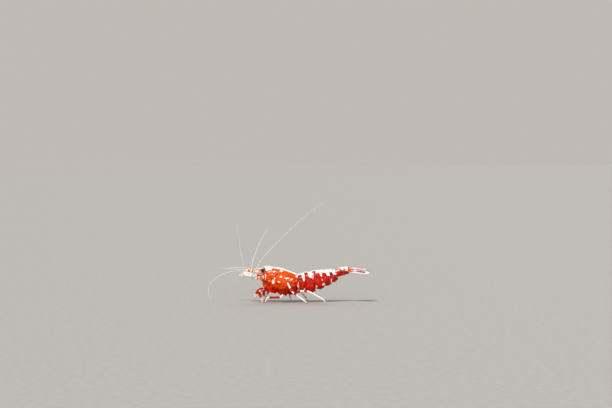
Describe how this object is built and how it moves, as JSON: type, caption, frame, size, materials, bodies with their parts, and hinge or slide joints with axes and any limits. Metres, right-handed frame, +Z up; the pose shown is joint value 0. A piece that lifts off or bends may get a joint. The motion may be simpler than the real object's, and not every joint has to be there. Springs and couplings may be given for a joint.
{
  "type": "dwarf freshwater shrimp, still life-size model",
  "caption": "Still life-size dwarf aquarium shrimp standing on its walking legs, tail stretched back level and feelers raised.",
  "frame": {"origin": "on the floor under the middle of the whole outline", "axes": "+X from head to tail, +Y to the animal's right, +Z up"},
  "size_m": [0.0328, 0.0104, 0.0202],
  "materials": {
    "shell": "satin translucent red shell with white markings",
    "head_limb": "satin translucent white and orange chitin",
    "limb": "satin translucent red chitin with pale joints",
    "tail_fan": "satin translucent white chitin with red streaks",
    "feeler": "satin pale grey-white",
    "eye": "glossy black"
  },
  "bodies": {
    "root": {"abdomen_1": "shell", "abdomen_2": "shell", "abdomen_3": "shell", "abdomen_4": "shell", "abdomen_5": "shell", "abdomen_6": "shell", "antenna_left_base": "head_limb", "antenna_left_feeler_1": "feeler", "antenna_left_feeler_2": "feeler", "antenna_left_scale": "head_limb", "antenna_right_base": "head_limb", "antenna_right_feeler_1": "feeler", "antenna_right_feeler_2": "feeler", "antenna_right_scale": "head_limb", "antennule_left": "head_limb", "antennule_left_front_feeler": "feeler", "antennule_left_upper_feeler": "feeler", "antennule_right": "head_limb", "antennule_right_front_feeler": "feeler", "antennule_right_upper_feeler": "feeler", "carapace": "shell", "claw_leg_1_left": "limb", "claw_leg_1_right": "limb", "claw_leg_2_left": "limb", "claw_leg_2_right": "limb", "eye_left": "eye", "eye_right": "eye", "eyestalk_left": "shell", "eyestalk_right": "shell", "head": "shell", "maxilliped_left": "limb", "maxilliped_right": "limb", "rostrum": "shell", "swimmeret_1_left": "limb", "swimmeret_1_right": "limb", "swimmeret_2_left": "limb", "swimmeret_2_right": "limb", "swimmeret_3_left": "limb", "swimmeret_3_right": "limb", "swimmeret_4_left": "limb", "swimmeret_4_right": "limb", "swimmeret_5_left": "limb", "swimmeret_5_right": "limb", "telson": "tail_fan", "thorax": "shell", "uropod_left_inner": "tail_fan", "uropod_left_outer": "tail_fan", "uropod_right_inner": "tail_fan", "uropod_right_outer": "tail_fan", "walking_leg_3_left": "limb", "walking_leg_3_right": "limb", "walking_leg_4_left": "limb", "walking_leg_4_right": "limb", "walking_leg_5_left": "limb", "walking_leg_5_right": "limb"}
  },
  "joints": []
}
